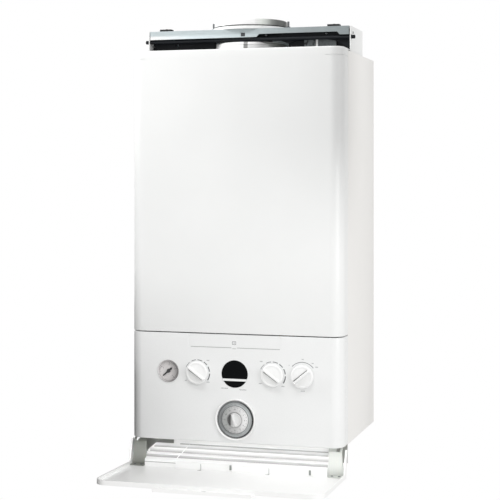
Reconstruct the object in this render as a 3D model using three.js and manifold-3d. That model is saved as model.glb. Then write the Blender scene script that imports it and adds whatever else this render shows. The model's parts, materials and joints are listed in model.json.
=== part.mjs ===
// Wall-hung combi boiler with its drop-down flap open.
// Millimetres. X to the right seen from the front, the front faces -Y, +Z up.
// All heights below are counted from the bottom of the casing; the last lines
// move the whole group so that the origin is the centre of the wall bracket's
// back face.
import * as THREE from 'three';
import { mergeVertices } from 'three/addons/utils/BufferGeometryUtils.js';
import Module from 'manifold-3d';

const wasm = await Module();
wasm.setup();

// ---------------------------------------------------------------- sizes
const HALF = 197.5;          // half the casing's width, 395 wide
const FRONT = -283;          // the casing's front plane, 283 in front of the wall
const TOP = 705;             // top edge of the front casing
const SEAM = 194.5;          // seam between the front casing and the fascia
const CORNER = 22;           // radius of the vertical corners
const RETURN = 47;           // how far the front casing wraps round the sides
const MOUNT_Z = 670;         // height of the wall bracket's centre
const yd = (depth) => FRONT + depth;

// ---------------------------------------------------------------- solids
function toSolid(geometry) {
  const g = geometry.index ? geometry.toNonIndexed() : geometry.clone();
  g.deleteAttribute('normal');
  g.deleteAttribute('uv');
  const m = mergeVertices(g, 1e-4);
  const pos = m.attributes.position.array;
  const index = m.index.array;
  const tris = [];
  let volume = 0;
  for (let i = 0; i < index.length; i += 3) {
    const [a, b, c] = [index[i], index[i + 1], index[i + 2]];
    if (a === b || b === c || a === c) continue;
    tris.push(a, b, c);
    const [ax, ay, az] = [pos[3 * a], pos[3 * a + 1], pos[3 * a + 2]];
    const [bx, by, bz] = [pos[3 * b], pos[3 * b + 1], pos[3 * b + 2]];
    const [cx, cy, cz] = [pos[3 * c], pos[3 * c + 1], pos[3 * c + 2]];
    volume += ax * (by * cz - bz * cy) + ay * (bz * cx - bx * cz) + az * (bx * cy - by * cx);
  }
  if (volume < 0) {
    for (let i = 0; i < tris.length; i += 3) [tris[i + 1], tris[i + 2]] = [tris[i + 2], tris[i + 1]];
  }
  return new wasm.Manifold(new wasm.Mesh({
    numProp: 3,
    vertProperties: new Float32Array(pos),
    triVerts: new Uint32Array(tris),
  }));
}

function toGeometry(solid) {
  const mesh = solid.getMesh();
  const g = new THREE.BufferGeometry();
  g.setAttribute('position', new THREE.BufferAttribute(new Float32Array(mesh.vertProperties), 3));
  g.setIndex(new THREE.BufferAttribute(new Uint32Array(mesh.triVerts), 1));
  g.computeVertexNormals();
  return g;
}

const join = (first, ...rest) => rest.reduce((s, o) => s.add(o), first);
const cut = (first, ...rest) => rest.reduce((s, o) => s.subtract(o), first);

function box(x0, x1, y0, y1, z0, z1) {
  const g = new THREE.BoxGeometry(x1 - x0, y1 - y0, z1 - z0);
  g.translate((x0 + x1) / 2, (y0 + y1) / 2, (z0 + z1) / 2);
  return toSolid(g);
}

function flat(points, depth, holes = []) {
  const shape = new THREE.Shape(points.map(([u, v]) => new THREE.Vector2(u, v)));
  for (const h of holes) shape.holes.push(new THREE.Path(h.map(([u, v]) => new THREE.Vector2(u, v))));
  return new THREE.ExtrudeGeometry(shape, { depth, bevelEnabled: false, steps: 1 });
}

// outline in X and Y, from z0 up to z1
function prismZ(points, z0, z1, holes) {
  const g = flat(points, z1 - z0, holes);
  g.translate(0, 0, z0);
  return toSolid(g);
}

// outline in Y and Z, from x0 to x1
function prismX(points, x0, x1, holes) {
  const g = flat(points, x1 - x0, holes);
  g.applyMatrix4(new THREE.Matrix4().makeBasis(
    new THREE.Vector3(0, 1, 0), new THREE.Vector3(0, 0, 1), new THREE.Vector3(1, 0, 0)));
  g.translate(x0, 0, 0);
  return toSolid(g);
}

// outline in X and Z, from y0 to y1
function prismY(points, y0, y1, holes) {
  const g = flat(points, y1 - y0, holes);
  g.applyMatrix4(new THREE.Matrix4().makeBasis(
    new THREE.Vector3(1, 0, 0), new THREE.Vector3(0, 0, 1), new THREE.Vector3(0, -1, 0)));
  g.translate(0, y1, 0);
  return toSolid(g);
}

// profile of [radius, height] turned about a vertical axis
function turnZ(profile, x, y, segments = 32) {
  const g = new THREE.LatheGeometry(profile.map(([r, h]) => new THREE.Vector2(r, h)), segments);
  g.rotateX(Math.PI / 2);
  g.translate(x, y, 0);
  return toSolid(g);
}

// profile of [radius, distance in front of the casing's front plane]
function turnFront(profile, x, z, segments = 32) {
  const g = new THREE.LatheGeometry(profile.map(([r, t]) => new THREE.Vector2(r, t)), segments);
  g.rotateX(Math.PI);
  g.translate(x, FRONT, z);
  return toSolid(g);
}

function ring(r0, r1, h0, h1) {
  return [[r0, h0], [r1, h0], [r1, h1], [r0, h1], [r0, h0]];
}

function disc(r, h0, h1, edge = 0) {
  return edge
    ? [[0, h0], [r, h0], [r, h1 - edge], [r - 0.3 * edge, h1 - 0.3 * edge], [r - edge, h1], [0, h1]]
    : [[0, h0], [r, h0], [r, h1], [0, h1]];
}

function rodX(r, x0, x1, y, z, segments = 20) {
  const g = new THREE.CylinderGeometry(r, r, x1 - x0, segments);
  g.rotateZ(Math.PI / 2);
  g.translate((x0 + x1) / 2, y, z);
  return toSolid(g);
}

function rodY(r, y0, y1, x, z, segments = 20) {
  const g = new THREE.CylinderGeometry(r, r, y1 - y0, segments);
  g.translate(x, (y0 + y1) / 2, z);
  return toSolid(g);
}

function rodZ(r, z0, z1, x, y, segments = 20) {
  const g = new THREE.CylinderGeometry(r, r, z1 - z0, segments);
  g.rotateX(Math.PI / 2);
  g.translate(x, y, (z0 + z1) / 2);
  return toSolid(g);
}

function roundRect(u0, u1, v0, v1, r, n = 5) {
  const out = [];
  const corners = [[u1 - r, v0 + r, -90], [u1 - r, v1 - r, 0], [u0 + r, v1 - r, 90], [u0 + r, v0 + r, 180]];
  for (const [cu, cv, from] of corners) {
    for (let i = 0; i <= n; i++) {
      const a = (from + 90 * i / n) * Math.PI / 180;
      out.push([cu + r * Math.cos(a), cv + r * Math.sin(a)]);
    }
  }
  return out;
}

// a bent pipe, solid, through the points given
function pipe(points, r, steps = 18, sides = 8) {
  const curve = new THREE.CatmullRomCurve3(points.map((p) => new THREE.Vector3(...p)), false, 'centripetal');
  const section = new THREE.Shape();
  for (let i = 0; i < sides; i++) {
    const a = 2 * Math.PI * i / sides;
    if (i === 0) section.moveTo(r * Math.cos(a), r * Math.sin(a));
    else section.lineTo(r * Math.cos(a), r * Math.sin(a));
  }
  section.closePath();
  return toSolid(new THREE.ExtrudeGeometry(section, { steps, extrudePath: curve, bevelEnabled: false }));
}

// The casing's outline seen from above: down the left side, round the two
// front corners and back along the right side, moved inwards by inset.
function outline(inset, depth, n = 12) {
  const r = CORNER - inset;
  const x = HALF - inset;
  const points = [[-x, yd(depth)]];
  for (let i = 0; i <= n; i++) {
    const a = Math.PI + (Math.PI / 2) * i / n;
    points.push([-HALF + CORNER + r * Math.cos(a), FRONT + CORNER + r * Math.sin(a)]);
  }
  for (let i = 0; i <= n; i++) {
    const a = 1.5 * Math.PI + (Math.PI / 2) * i / n;
    points.push([HALF - CORNER + r * Math.cos(a), FRONT + CORNER + r * Math.sin(a)]);
  }
  points.push([x, yd(depth)]);
  return points;
}

// a sheet that follows the outline, between two insets
const wrap = (out, inn, depth, z0, z1) =>
  prismZ([...outline(out, depth), ...outline(inn, depth).reverse()], z0, z1);

// ---------------------------------------------------------------- materials
const paint = (color, roughness, metalness) => new THREE.MeshStandardMaterial({ color, roughness, metalness });
const finish = {
  white: paint(0xf2f3f2, 0.38, 0),
  whiteSide: paint(0xe9e7e3, 0.4, 0),
  whitePlastic: paint(0xf0f1f1, 0.3, 0),
  galvanised: paint(0xb9c4c9, 0.42, 0.85),
  aluminium: paint(0xc8c8c4, 0.35, 0.9),
  timerGrey: paint(0xa9adae, 0.3, 0.6),
  dial: paint(0xd9dcdd, 0.4, 0.1),
  gaugeFace: paint(0xcfc6c4, 0.5, 0),
  black: paint(0x14161a, 0.45, 0),
  rubber: paint(0x0f0f10, 0.8, 0),
  glass: new THREE.MeshStandardMaterial({ color: 0xffffff, roughness: 0.05, metalness: 0, transparent: true, opacity: 0.3 }),
  copper: paint(0xb8734a, 0.35, 0.9),
  brass: paint(0xb59a5b, 0.35, 0.9),
  cast: paint(0x8d8f8f, 0.6, 0.7),
  red: paint(0x9c2a25, 0.5, 0.1),
  darkGrey: paint(0x3c3f43, 0.5, 0.1),
  arm: paint(0x9a9c94, 0.5, 0.1),
};

const boiler = new THREE.Group();
function add(name, solid, material, parent = boiler) {
  const mesh = new THREE.Mesh(toGeometry(solid), material);
  mesh.name = name;
  parent.add(mesh);
  return mesh;
}

// ---------------------------------------------------------------- frame
// wall bracket: a plate with a forward hook along its top edge
add('wall_bracket', cut(
  prismX([[0, 645], [0, 695], [-7.6, 695], [-7.6, 700.5], [-9.8, 700.5], [-9.8, 692.8], [-2.4, 692.8], [-2.4, 645]], -165, 165),
  rodY(4, -12, 5, -120, 665), rodY(4, -12, 5, 120, 665)), finish.galvanised);

// back panel: a tray with forward flanges and a slot for the bracket's hook
add('back_panel', cut(
  prismZ([[-190, -18], [-190, -2.8], [190, -2.8], [190, -18], [188.6, -18], [188.6, -4.2], [-188.6, -4.2], [-188.6, -18]], 5.5, 701.2),
  box(-168, 168, -6, -1, 690, 695.3)), finish.galvanised);

for (const side of [-1, 1]) {
  const web = side > 0 ? [192.7, 194.2] : [-194.2, -192.7];
  const lip = side > 0 ? [178.7, 193.5] : [-193.5, -178.7];
  add(side > 0 ? 'frame_post_right' : 'frame_post_left', cut(
    join(box(...web, yd(84.2), yd(160), 5.5, 749), box(...web, yd(150), yd(190), 695, 749), box(...lip, yd(158.5), yd(160), 5.5, 700)),
    rodX(3.9, -200, 200, yd(90), 729.3), rodX(1.7, -200, 200, yd(104), 738, 12)), finish.white);
}

const FLUE_X = -12;
const FLUE_Y = yd(147);

// galvanised rail across the top, open below, with a shallow notch on the right
add('top_rail', cut(
  prismX([[yd(84), 733.5], [yd(84), 749], [yd(104), 749], [yd(104), 747.5], [yd(85.5), 747.5], [yd(85.5), 733.5]], -191, 191),
  prismY([[16.5, 733], [22, 739], [169, 739], [174.5, 733]], yd(83), yd(87)),
  box(-13, -5, yd(83), yd(87), 735.2, 742),
  rodZ(60.5, 746, 750, FLUE_X, FLUE_Y, 36)), finish.galvanised);

// raised under the turret, with a riser behind it down to the level of the side panels
const riser = [[-191, 190], [-95, 228], [95, 228], [191, 190]];
const plan = (points) => points.map(([x, d]) => [x, yd(d)]);
add('top_plate', cut(
  join(prismZ(plan([[-191, 87], ...riser, [191, 87]]), 745.7, 747.2),
    prismZ(plan([...riser, [191, 188.4], [94.7, 226.5], [-94.7, 226.5], [-191, 188.4]]), 701.5, 747.2),
    prismZ([...plan([[-191, 188.4], [-94.7, 226.5], [94.7, 226.5], [191, 188.4]]), [191, -5], [-191, -5]], 701.5, 703)),
  rodZ(62, 744, 749, FLUE_X, FLUE_Y, 36)), finish.galvanised);

add('casing_hanger_rod', join(rodX(3.5, -200.3, 200.3, yd(90), 729.3, 16), rodX(2.5, -201.5, 201.5, yd(90), 729.3, 16)), finish.black);
add('rail_pad_left', box(-172.5, -150.5, yd(86), yd(101), 749.3, 752.8), finish.rubber);
add('rail_pad_right', box(150.5, 172.5, yd(86), yd(101), 749.3, 752.8), finish.rubber);

// a flat plate with a shroud in front of it on the right, arched over the bracket
add('top_baffle', cut(
  join(box(-190, 190, yd(102), yd(103.2), 690, 744),
    box(58, 190, yd(93.8), yd(103), 742.8, 744),
    prismY([[58, 727.5], [76.5, 720.6], [87, 725.6], [104, 727.4], [134, 728], [152, 725.8], [164, 723.4], [173, 719.2], [190, 708.5], [190, 744], [58, 744]], yd(93.8), yd(95))),
  box(FLUE_X - 55, 74, yd(100), yd(105), 680, 729.5),
  rodY(3.2, yd(100), yd(105), -142.4, 722.5, 14)), finish.black);
add('harness_bracket', cut(
  box(104.7, 164.6, yd(97.4), yd(98.9), 694, 733),
  box(125.6, 131.2, yd(95), yd(100), 706, 740)), finish.galvanised);

// ---------------------------------------------------------------- flue
add('turret_base', cut(
  join(turnZ(disc(71, 749.3, 754.6), FLUE_X, FLUE_Y, 36),
    rodZ(8, 749.3, 754.6, FLUE_X - 73, FLUE_Y, 20), rodZ(8, 749.3, 754.6, FLUE_X + 73, FLUE_Y, 20)),
  rodZ(62, 740, 760, FLUE_X, FLUE_Y, 36)), finish.white);
add('turret_gasket', turnZ(ring(62, 69.5, 754.9, 756.4), FLUE_X, FLUE_Y, 36), finish.rubber);
add('flue_turret', cut(
  turnZ([[62.5, 756.7], [68.5, 756.7], [68.5, 766.6], [67.6, 767.8], [66.4, 768], [62.5, 768], [62.5, 764], [64, 763.4], [64, 760], [62.5, 759.4], [62.5, 756.7]], FLUE_X, FLUE_Y, 36),
  box(FLUE_X + 26, FLUE_X + 27, FLUE_Y - 70, FLUE_Y - 62.5, 756, 769)), finish.white);
add('flue_inner_spigot', turnZ(ring(39.6, 42, 655, 763), FLUE_X, FLUE_Y, 28), finish.aluminium);
for (const side of [-1, 1]) {
  add(side > 0 ? 'turret_stud_right' : 'turret_stud_left', join(
    turnZ(disc(4.0, 754.9, 757.4), FLUE_X + side * 73.5, FLUE_Y, 6),
    turnZ(disc(2.1, 757, 767.4, 0.6), FLUE_X + side * 73.5, FLUE_Y, 12)), finish.darkGrey);
}
add('exhaust_collar', turnZ(
  [[43, 723], [65.2, 723], [68, 720.2], [68, 636], [70, 636], [70, 721.5], [68.6, 724], [66, 725], [43, 725], [43, 723]],
  FLUE_X, FLUE_Y, 36), finish.aluminium);

// ---------------------------------------------------------------- casing
// a groove round each top corner, 15 below the edge
const groove = (side) => {
  const band = wrap(-1, 0.6, RETURN + 2, 689.6, 690.4);
  return band.intersect(side > 0 ? box(166, 205, yd(-5), yd(60), 680, 700) : box(-205, -166, yd(-5), yd(60), 680, 700));
};
add('front_casing', cut(
  join(wrap(0, 1.5, RETURN - 0.8, SEAM + 0.9, TOP),
    wrap(0.5, 9, RETURN - 0.8, SEAM + 0.9, SEAM + 2.4),
    prismZ([[-194, yd(82)], [-194, yd(RETURN - 0.8)], ...outline(0.5, RETURN - 0.8), [194, yd(RETURN - 0.8)], [194, yd(82)]], TOP - 1.5, TOP)),
  groove(1), groove(-1), rodZ(71.6, 700, 710, FLUE_X, FLUE_Y, 36)), finish.white);

for (const side of [-1, 1]) {
  const at = (a, b) => (side > 0 ? [a, b] : [-b, -a]);
  const section = [[HALF, yd(RETURN + 0.5)], [HALF, -1], [184, -1], [184, -2.2], [196.3, -2.2],
    [196.3, yd(RETURN + 1.7)], [184, yd(RETURN + 1.7)], [184, yd(RETURN + 0.5)]];
  add(side > 0 ? 'side_panel_right' : 'side_panel_left',
    prismZ(section.map(([x, y]) => [side * x, y]), 0, 701), finish.whiteSide);
}

const tails = [
  ['tail_heating_flow', -130, 11, 8.6, finish.copper],
  ['tail_hot_water', -65, 7.5, 5.6, finish.copper],
  ['tail_gas', 0, 11, 8.6, finish.copper],
  ['tail_cold_inlet', 65, 7.5, 5.6, finish.copper],
  ['tail_heating_return', 130, 11, 8.6, finish.copper],
];
const TAIL_Y = -120;
const TRAP = [-165, -88];
add('bottom_panel', cut(
  join(box(-195.8, 195.8, yd(50), -5.5, 3, 4.5), box(-195.8, 195.8, yd(50), yd(51.5), -34, 4)),
  ...tails.map(([, x, r]) => rodZ(r + 6, 0, 8, x, TAIL_Y, 20)),
  rodZ(13, 0, 8, ...TRAP, 20)), finish.galvanised);
for (const [name, x, r, bore, material] of tails) {
  add(name, turnZ([[bore, -45], [r, -45], [r, -26], [r + 4.5, -26], [r + 4.5, -10], [r, -10], [r, 60], [bore, 60], [bore, -45]], x, TAIL_Y, 16), material);
}

// ---------------------------------------------------------------- fascia
const GAUGE = [-125, 124];
const KNOBS = { hot_water_knob: [-69.3, 123, 36], heating_knob: [71, 124, 36], mode_knob: [125.6, 124, -40] };
const WINDOW = [1, 123.5];
const TIMER = [3, 42.5];
add('control_fascia', cut(
  join(wrap(0, 2.5, RETURN, 0, SEAM - 0.9),
    prismZ(outline(0.5, RETURN), 0, 2.5),
    wrap(0.5, 9, RETURN, SEAM - 3.4, SEAM - 0.9)),
  rodY(20.3, yd(-3), yd(12), ...GAUGE, 28),
  rodY(24.6, yd(-3), yd(12), ...WINDOW, 32),
  rodY(33.4, yd(-3), yd(12), ...TIMER, 32),
  ...Object.values(KNOBS).map(([x, z]) => rodY(4, yd(-3), yd(12), x, z, 20)),
  box(-86.5, 86.5, yd(-2), yd(0.9), 169.5, 200)), finish.whitePlastic);

add('control_box', cut(
  box(-165, 165, yd(20), yd(46), 8, 186),
  box(-163, 163, yd(18), yd(44), 10, 184)), finish.darkGrey);

add('gauge_housing', turnFront(
  [[0, -22], [19.6, -22], [19.6, -4], [20, -4], [20, 0.8], [19.6, 1.2], [18.4, 1.2], [18.2, 0.8], [18.2, -4.2], [0, -4.2]], ...GAUGE, 28), finish.timerGrey);
add('gauge_dial', turnFront(disc(17.9, -3.9, -3.3), ...GAUGE, 28), finish.gaugeFace);
add('gauge_lens', turnFront(disc(17.9, -1.1, 0.2, 0.6), ...GAUGE, 28), finish.glass);

add('display_window', turnFront(disc(24.3, -4, 0.5, 0.5), ...WINDOW, 32), finish.black);
add('display_divider', prismY([[-21.4, 111], [-22.2, 115], [24.2, 115], [23.4, 111]], yd(-1.3), yd(-0.8)), finish.white);

add('timer_bezel', turnFront(
  [[33.7, 0.4], [37, 0.4], [36.8, 2.2], [35.8, 3.9], [34.6, 4.5], [33.7, 4.2], [33.7, 0.4]], ...TIMER, 36), finish.whitePlastic);
add('timer_body', turnFront(
  [[0, -17], [31, -17], [31, -0.5], [33.1, -0.5], [33.1, 3.4], [31.5, 3.9], [29, 2.8], [26.2, 4.4], [24.9, 4.2], [24.9, 0.8], [3.2, 0.8], [3.2, 7.6], [2.7, 8.1], [0, 8.1]], ...TIMER, 32), finish.timerGrey);

// ---------------------------------------------------------------- inside
const turnBack = (profile) => {
  const g = new THREE.LatheGeometry(profile.map(([r, t]) => new THREE.Vector2(r, t)), 28);
  g.translate(0, 0, 540);
  return toSolid(g);
};
add('expansion_vessel', cut(
  turnBack([[0, -12], [118, -12], [136, -22], [140, -34], [140, -42], [136, -54], [118, -64], [0, -64]]),
  turnBack([[0, -14], [117, -14], [134, -24], [137.6, -34], [137.6, -42], [134, -52], [117, -62], [0, -62]]),
  rodZ(5, 380, 440, 0, -38, 12)), finish.red);
add('heat_exchanger', cut(
  join(prismZ(roundRect(-115, 92, -198, -74, 14, 4), 470, 625),
    turnZ(disc(52, 620, 632), FLUE_X, FLUE_Y, 24)),
  box(-105, 82, -188, -84, 482, 614), rodZ(40, 600, 640, FLUE_X, FLUE_Y, 24)), finish.aluminium);
add('burner_door', join(
  prismY(roundRect(-98, 75, 486, 612, 12, 4), yd(75), yd(84.6)),
  rodY(26, yd(66), yd(76), -12, 549, 24)), finish.cast);
add('fan_housing', cut(
  turnZ(disc(42, 556, 600), 136, -142, 32),
  turnZ(disc(38, 560, 596), 136, -142, 32),
  rodZ(19, 550, 562, 136, -142, 20), rodZ(4, 590, 605, 136, -142, 12),
  box(94, 112, -160, -124, 564, 592)), finish.cast);
add('fan_impeller', (() => {
  let s = join(turnZ(disc(34, 564, 566.2), 136, -142, 32), rodZ(7, 565, 590, 136, -142, 16), rodZ(3, 585, 606, 136, -142, 12));
  for (let i = 0; i < 9; i++) {
    const g = new THREE.BoxGeometry(20, 1.8, 20);
    g.translate(23, 0, 575.5);
    g.rotateZ(2 * Math.PI * i / 9);
    g.translate(136, -142, 0);
    s = s.add(toSolid(g));
  }
  return s;
})(), finish.darkGrey);
add('fan_motor', cut(
  turnZ(disc(26, 600.4, 634, 4), 136, -142, 24),
  rodZ(4, 599, 612, 136, -142, 12)), finish.darkGrey);
add('gas_valve', join(
  box(110, 168, -182, -122, 440, 505),
  rodZ(17, 500, 536, 139, -152, 20), rodX(11, 92, 112, -152, 470, 16)), finish.aluminium);
add('gas_pipe', pipe([[0, TAIL_Y, 60.6], [0, TAIL_Y, 85], [0, TAIL_Y, 110], [40, -150, 165], [110, -170, 210], [142, -165, 280], [142, -152, 360], [142, -152, 400], [142, -152, 439.2]], 8), finish.copper);
add('pump_body', join(
  rodY(44, -196, -112, -116, 232, 28), rodY(56, -128, -112, -116, 232, 28), rodZ(15, 61, 200, -130, TAIL_Y, 20)), finish.cast);
add('plate_heat_exchanger', prismY(roundRect(-36, 36, 222, 412, 12, 4), -222, -166), finish.aluminium);
add('flow_pipe', pipe([[-116, -120, 288.8], [-116, -120, 300], [-116, -120, 312], [-92, -112, 370], [-84, -110, 420], [-84, -110, 445], [-84, -110, 469.2]], 10), finish.copper);
add('return_pipe', pipe([[130, TAIL_Y, 60.6], [130, TAIL_Y, 85], [130, TAIL_Y, 120], [128, -104, 230], [100, -94, 340], [58, -94, 420], [58, -94, 445], [58, -94, 469.2]], 9), finish.copper);
add('condensate_trap', turnZ(
  [[0, 8], [8.6, 8], [8.6, -40], [10.7, -40], [10.7, 14], [23, 22], [23, 142], [20, 150], [9, 152], [9, 168], [0, 168]], ...TRAP, 24), finish.whitePlastic);

// ---------------------------------------------------------------- knobs
// grip: a bar across the face, from the pointer's end to the other side
for (const [name, [x, z, slope]] of Object.entries(KNOBS)) {
  const disk = turnFront([[0, -20], [3, -20], [3, 0.6], [20.5, 0.6], [20.7, 1.4], [20.4, 3.6], [19.2, 5.2], [16.7, 6.2], [0, 7.2]], x, z, 28);
  const g = new THREE.ExtrudeGeometry(new THREE.Shape([
    [-2.3, 3], [2.3, 3], [1.9, 11.6], [1.1, 12.4], [-1.1, 12.4], [-1.9, 11.6]].map(([u, v]) => new THREE.Vector2(u, v))),
  { depth: 37.2, bevelEnabled: false });
  g.translate(0, 0, -18.6);
  // section's height comes forward, its length lies along X, then turned to the slope
  g.applyMatrix4(new THREE.Matrix4().makeBasis(
    new THREE.Vector3(0, 0, 1), new THREE.Vector3(0, -1, 0), new THREE.Vector3(1, 0, 0)));
  g.rotateY(slope * Math.PI / 180);
  g.translate(x, FRONT, z);
  add(name, disk.add(toSolid(g)), finish.whitePlastic);
}

// needle at zero: its tip points down to the left
add('gauge_needle', (() => {
  const blade = flat([[-14.6, -0.7], [-3, -1.45], [3.4, -1.8], [9.1, -1.2], [9.1, 1.2], [3.4, 1.8], [-3, 1.45], [-14.6, 0.7]], 0.7);
  blade.applyMatrix4(new THREE.Matrix4().makeBasis(
    new THREE.Vector3(1, 0, 0), new THREE.Vector3(0, 0, 1), new THREE.Vector3(0, -1, 0)));
  blade.rotateY(-41 * Math.PI / 180);
  blade.translate(GAUGE[0], yd(2.9), GAUGE[1]);
  return join(turnFront(disc(1.9, -3, -1.5), ...GAUGE, 16), toSolid(blade));
})(), finish.black);

add('timer_dial', turnFront(
  [[4, 1.4], [24.4, 1.4], [24.4, 5.6], [23.4, 6.4], [14.2, 6.0], [13.6, 5.4], [4, 5.4], [4, 1.4]], ...TIMER, 32), finish.dial);
add('timer_knob', (() => {
  const body = turnFront([[3.6, 7], [12.2, 7], [12.5, 7.8], [12, 9.2], [0, 9.6], [0, 8.5], [3.6, 8.5], [3.6, 7]], ...TIMER, 32);
  const g = flat([[-2.2, 9.1], [2.2, 9.1], [1.7, 13], [0.8, 13.8], [-0.8, 13.8], [-1.7, 13]], 22);
  g.translate(0, 0, -11);
  g.applyMatrix4(new THREE.Matrix4().makeBasis(
    new THREE.Vector3(0, 0, 1), new THREE.Vector3(0, -1, 0), new THREE.Vector3(1, 0, 0)));
  g.rotateY((90 - 20) * Math.PI / 180);
  g.translate(TIMER[0], FRONT, TIMER[1]);
  return body.add(toSolid(g));
})(), finish.whitePlastic);

// ---------------------------------------------------------------- flap
// The hinge line is below the casing. In the flap's own frame the plate is
// level: a counts forward from the hinge, b downward.
const HINGE = [yd(20), -12];
const TILT = 1;               // the open plate slopes up a little towards its free edge
const flapPoint = ([a, b]) => [-a, -b];
const flapX = (points, x0, x1) => prismX(points.map(flapPoint), x0, x1);
const PLATE = 39;             // from the hinge down to the plate's inner face
const EDGE = 185;             // from the hinge forward to the free edge
const WIDE = 201.5;           // half the flap's width
const LIP = 170;              // half the lip's width
// Above b = 20 nothing in front of a = 11.5, so it clears the fascia when shut.
const lipFront = [[-3.5, -10.6], [-3.3, -1.5], [-2.4, 0.5], [3.6, 6.2], [4.2, 14.8], [10.6, 17.4], [11.1, 23], [19.4, 26], [20, PLATE + 1]];
const lip = flapX([...lipFront, ...lipFront.map(([a, b]) => [a - 2.4, b + 1.1]).reverse()], -LIP, LIP);
const plateOutline = (grow, from, to) => {
  const r = 21 + grow;
  const w = WIDE + grow;
  const e = to + grow;
  const out = [[-w, -from]];
  for (let i = 0; i <= 8; i++) {
    const t = Math.PI + (Math.PI / 2) * i / 8;
    out.push([-w + r + r * Math.cos(t), -e + r + r * Math.sin(t)]);
  }
  for (let i = 0; i <= 8; i++) {
    const t = 1.5 * Math.PI + (Math.PI / 2) * i / 8;
    out.push([w - r + r * Math.cos(t), -e + r + r * Math.sin(t)]);
  }
  out.push([w, -from]);
  return out;
};
const plate = join(
  prismZ(plateOutline(0, 4, EDGE), -PLATE - 3, -PLATE),
  prismZ([...plateOutline(0, 4, EDGE), ...plateOutline(-2.4, 4, EDGE).reverse()], -PLATE - 1, -PLATE + 5.5));
const tab = join(
  prismZ(roundRect(-86, 86, -EDGE - 23, -EDGE + 4, 3, 3), -PLATE - 3, -PLATE),
  box(-86, 86, -EDGE - 23, -EDGE - 21.4, -PLATE - 2, -PLATE + 3));
let flap = join(plate, tab, lip);
// cheeks at the outer edges, beside the casing when the flap is shut
for (const side of [-1, 1]) {
  const at = (a, b) => (side > 0 ? [a, b] : [-b, -a]);
  flap = join(flap, flapX([[-3, -7], [3, -8], [9, 6], [15, 22], [19, PLATE + 1], [4, PLATE + 1]], ...at(199, 201.5)),
    // end wall of the lip
    flapX([[-3, 0.6], [3.4, 7], [4, 16], [11, 25], [19.6, 27], [19.6, PLATE + 1], [4, PLATE + 1], [-4.6, 2.4]], ...at(LIP - 2.4, LIP)));
}
// the lip's top is lower at its left end
flap = cut(flap, prismY([[-LIP - 1, 14], [-122, 14], [-122, 0.4], [-157, 0.4], [-LIP - 1, -13.6]], -13, 13));
// clip strip along the foot of the lip, with two hooks
flap = join(flap,
  box(-109, 146, -24.4, -22.6, -PLATE - 1, -PLATE + 11),
  box(-109, 146, -23.5, -18.5, -PLATE - 1, -PLATE + 2),
  box(-5.5, -2.5, -28, -23, -PLATE + 3, -PLATE + 13),
  box(140, 143, -28, -23, -PLATE + 3, -PLATE + 12));
const onFlap = (mesh) => {
  mesh.position.set(0, HINGE[0], HINGE[1]);
  mesh.rotation.x = THREE.MathUtils.degToRad(-TILT);
};
onFlap(add('lower_flap', flap, finish.whitePlastic));

for (const side of [-1, 1]) {
  const at = (a, b) => (side > 0 ? [a, b] : [-b, -a]);
  const name = side > 0 ? 'right' : 'left';
  // hinge arm: a plate facing forward, a foot on the flap, an ear with the pin
  onFlap(add(`flap_arm_${name}`, join(
    prismY([[170.5, 4.6], [194.5, 4.6], [198.4, -PLATE + 0.4], [170.5, -PLATE + 0.4]].map(([x, z]) => [side * x, z]), -10, -8.4),
    // its top is rolled back over the pin, open where the lug passes
    flapX([[10, -4.4], [6.4, -9.4], [2, -11.2], [1.7, -9.6], [5.4, -8.1], [8.4, -4]], ...at(170.5, 184.2)),
    flapX([[10, -4.4], [6.4, -9.4], [2, -11.2], [1.7, -9.6], [5.4, -8.1], [8.4, -4]], ...at(190.9, 194.5)),
    box(...at(172, 198), -21.6, -9, -PLATE + 0.4, -PLATE + 1.9),
    flapX([[9.2, -4.4], [4, -6], [-4, -5], [-6, 0], [-4, 5], [4, 8], [9.2, 12]], ...at(178, 180)),
    rodX(3, ...at(179, 190.5), 0, 0, 20)), finish.arm));

  // the lug reaches down from behind, clear of the arm's sweep
  add(`hinge_bracket_${name}`, cut(
    join(rodX(6.8, ...at(186, 189), HINGE[0], HINGE[1], 24),
      prismX([[2, 4], [9.5, 10], [17, 10], [6, -3.5]].map(([y, z]) => [HINGE[0] + y, HINGE[1] + z]), ...at(186, 189)),
      box(...at(182, 195), HINGE[0] + 9, HINGE[0] + 24, -2.4, -0.4)),
    rodX(3.4, ...at(180, 195), HINGE[0], HINGE[1], 24)), finish.galvanised);
}

// ---------------------------------------------------------------- place
boiler.position.z = -MOUNT_Z;
const group = new THREE.Group();
group.add(boiler);

export default group;
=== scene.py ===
"""Looks of the wall-hung combi boiler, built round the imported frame.

Metres in Blender. The helpers below take millimetres and heights counted from the
bottom of the casing, as the CAD source does; MOUNT_Z moves them to the row frame.
"""
import json
import math
import random

import bmesh
import bpy
from mathutils import Matrix, Vector


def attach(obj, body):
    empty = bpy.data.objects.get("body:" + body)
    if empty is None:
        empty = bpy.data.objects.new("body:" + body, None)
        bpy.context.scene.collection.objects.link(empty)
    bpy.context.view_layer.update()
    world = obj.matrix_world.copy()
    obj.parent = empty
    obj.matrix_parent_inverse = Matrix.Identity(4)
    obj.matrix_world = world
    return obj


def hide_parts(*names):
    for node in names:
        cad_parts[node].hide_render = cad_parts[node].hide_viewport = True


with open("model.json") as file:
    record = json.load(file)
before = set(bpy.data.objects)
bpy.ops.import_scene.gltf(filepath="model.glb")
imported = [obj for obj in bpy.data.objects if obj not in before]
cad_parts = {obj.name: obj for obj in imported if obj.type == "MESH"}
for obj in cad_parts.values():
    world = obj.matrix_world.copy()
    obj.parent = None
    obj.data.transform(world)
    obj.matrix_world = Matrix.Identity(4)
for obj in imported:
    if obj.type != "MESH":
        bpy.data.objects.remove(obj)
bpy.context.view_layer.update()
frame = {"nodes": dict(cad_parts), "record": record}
NODES = frame["nodes"]
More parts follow.
